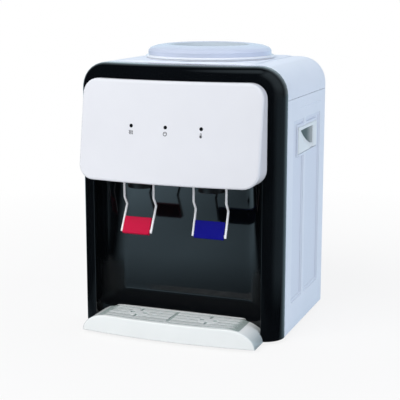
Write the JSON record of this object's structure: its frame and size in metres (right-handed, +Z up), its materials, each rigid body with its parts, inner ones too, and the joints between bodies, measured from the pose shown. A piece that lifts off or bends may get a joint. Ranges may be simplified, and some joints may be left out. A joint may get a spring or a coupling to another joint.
{
  "type": "countertop water dispenser",
  "caption": "Tabletop hot and room-temperature water dispenser for an upturned bottle, with lever taps over a splash recess, a pull-out drip tray and side grips.",
  "frame": {"origin": "centre of the overall box at its underside, on the surface that the feet stand on", "axes": "+Z up, -Y the front with the taps, +X to the right when facing the front"},
  "size_m": [0.2812, 0.269, 0.374],
  "materials": {
    "white_gloss": "gloss moulded ABS",
    "white_shell": "semi-gloss moulded shell, pale blue-grey white",
    "black_gloss": "piano-black gloss",
    "black_plastic": "satin black",
    "black_rubber": "matte",
    "red_plastic": "coloured through, satin gloss",
    "blue_plastic": "coloured through, satin gloss",
    "lever_wire": "white coated steel wire",
    "lamp_plastic": "smoked lens",
    "circuit_board": "green solder mask",
    "stainless": "brushed",
    "zinc_steel": "zinc plated",
    "spring_steel": "drawn wire",
    "silicone": "translucent white silicone",
    "foam": "expanded polystyrene"
  },
  "bodies": {
    "housing": {"base_plate": "white_shell", "foot_front_left": "black_rubber", "foot_front_right": "black_rubber", "foot_rear_left": "black_rubber", "foot_rear_right": "black_rubber", "right_side_panel": "white_shell", "left_side_panel": "white_shell", "right_handle_cup": "white_shell", "left_handle_cup": "white_shell", "top_cover": "white_shell", "rear_panel": "white_shell", "rear_screw_low_left": "zinc_steel", "rear_screw_low_right": "zinc_steel", "rear_screw_top_left": "zinc_steel", "rear_screw_top_right": "zinc_steel", "front_bezel": "black_gloss", "front_panel": "white_gloss", "lamp_hot": "lamp_plastic", "lamp_power": "lamp_plastic", "lamp_warm": "lamp_plastic", "lamp_board": "circuit_board", "reservoir": "white_gloss", "hot_tank": "stainless", "heater_band": "stainless", "insulation_left": "foam", "insulation_right": "foam", "thermostat": "black_plastic", "thermal_cutoff": "black_plastic", "tank_bracket": "zinc_steel", "feed_hose": "silicone", "drain_hose": "silicone", "hot_hose": "silicone", "cold_hose": "silicone", "hot_tap_body": "black_plastic", "hot_tap_bonnet": "black_plastic", "hot_tap_spring": "spring_steel", "hot_tap_gasket": "silicone", "hot_tap_nut": "black_plastic", "cold_tap_body": "black_plastic", "cold_tap_bonnet": "black_plastic", "cold_tap_spring": "spring_steel", "cold_tap_gasket": "silicone", "cold_tap_nut": "black_plastic", "switch_housing": "black_plastic", "drain_spout": "white_gloss", "drain_nut": "white_gloss", "cord_gland": "black_rubber", "terminal_block": "white_gloss"},
    "hot_lever_frame": {"hot_lever": "lever_wire", "hot_paddle": "red_plastic"},
    "cold_lever_frame": {"cold_lever": "lever_wire", "cold_paddle": "blue_plastic"},
    "hot_valve": {"hot_valve_stem": "silicone"},
    "cold_valve": {"cold_valve_stem": "silicone"},
    "tray": {"drip_tray": "white_gloss"},
    "grille": {"drip_grille": "white_gloss"},
    "seat": {"bottle_seat": "white_gloss"},
    "rocker": {"switch_rocker": "red_plastic"},
    "cap": {"drain_cap": "red_plastic"}
  },
  "joints": [
    {"name": "hot_lever_push", "type": "hinge", "parent": "housing", "child": "hot_lever_frame", "pos_m": [-0.049, -0.095, 0.217], "axis": [1, 0, 0], "range_deg": [0, 15], "stiffness_Nm_per_rad": 0.8, "springref_deg": -5.73},
    {"name": "cold_lever_push", "type": "hinge", "parent": "housing", "child": "cold_lever_frame", "pos_m": [0.049, -0.095, 0.217], "axis": [1, 0, 0], "range_deg": [0, 15], "stiffness_Nm_per_rad": 0.8, "springref_deg": -5.73},
    {"name": "hot_valve_lift", "type": "slide", "parent": "housing", "child": "hot_valve", "axis": [0, 0, 1], "range_m": [0, 0.003], "deforming": ["hot_tap_spring"]},
    {"name": "cold_valve_lift", "type": "slide", "parent": "housing", "child": "cold_valve", "axis": [0, 0, 1], "range_m": [0, 0.003], "deforming": ["cold_tap_spring"]},
    {"name": "tray_slide", "type": "slide", "parent": "housing", "child": "tray", "axis": [0, -1, 0], "range_m": [0, 0.09]},
    {"name": "grille_lift", "type": "slide", "parent": "tray", "child": "grille", "axis": [0, 0, 1], "range_m": [0, 0.03]},
    {"name": "seat_lift", "type": "slide", "parent": "housing", "child": "seat", "axis": [0, 0, 1], "range_m": [0, 0.06]},
    {"name": "switch_rock", "type": "hinge", "parent": "housing", "child": "rocker", "pos_m": [-0.09, 0.1225, 0.06], "axis": [1, 0, 0], "range_deg": [0, 16]},
    {"name": "drain_cap_off", "type": "slide", "parent": "housing", "child": "cap", "axis": [0, 1, 0], "range_m": [0, 0.02]}
  ],
  "couplings": [
    {"joint": "hot_valve_lift", "follows": "hot_lever_push", "m_per_rad": 0.01145},
    {"joint": "cold_valve_lift", "follows": "cold_lever_push", "m_per_rad": 0.01145}
  ]
}
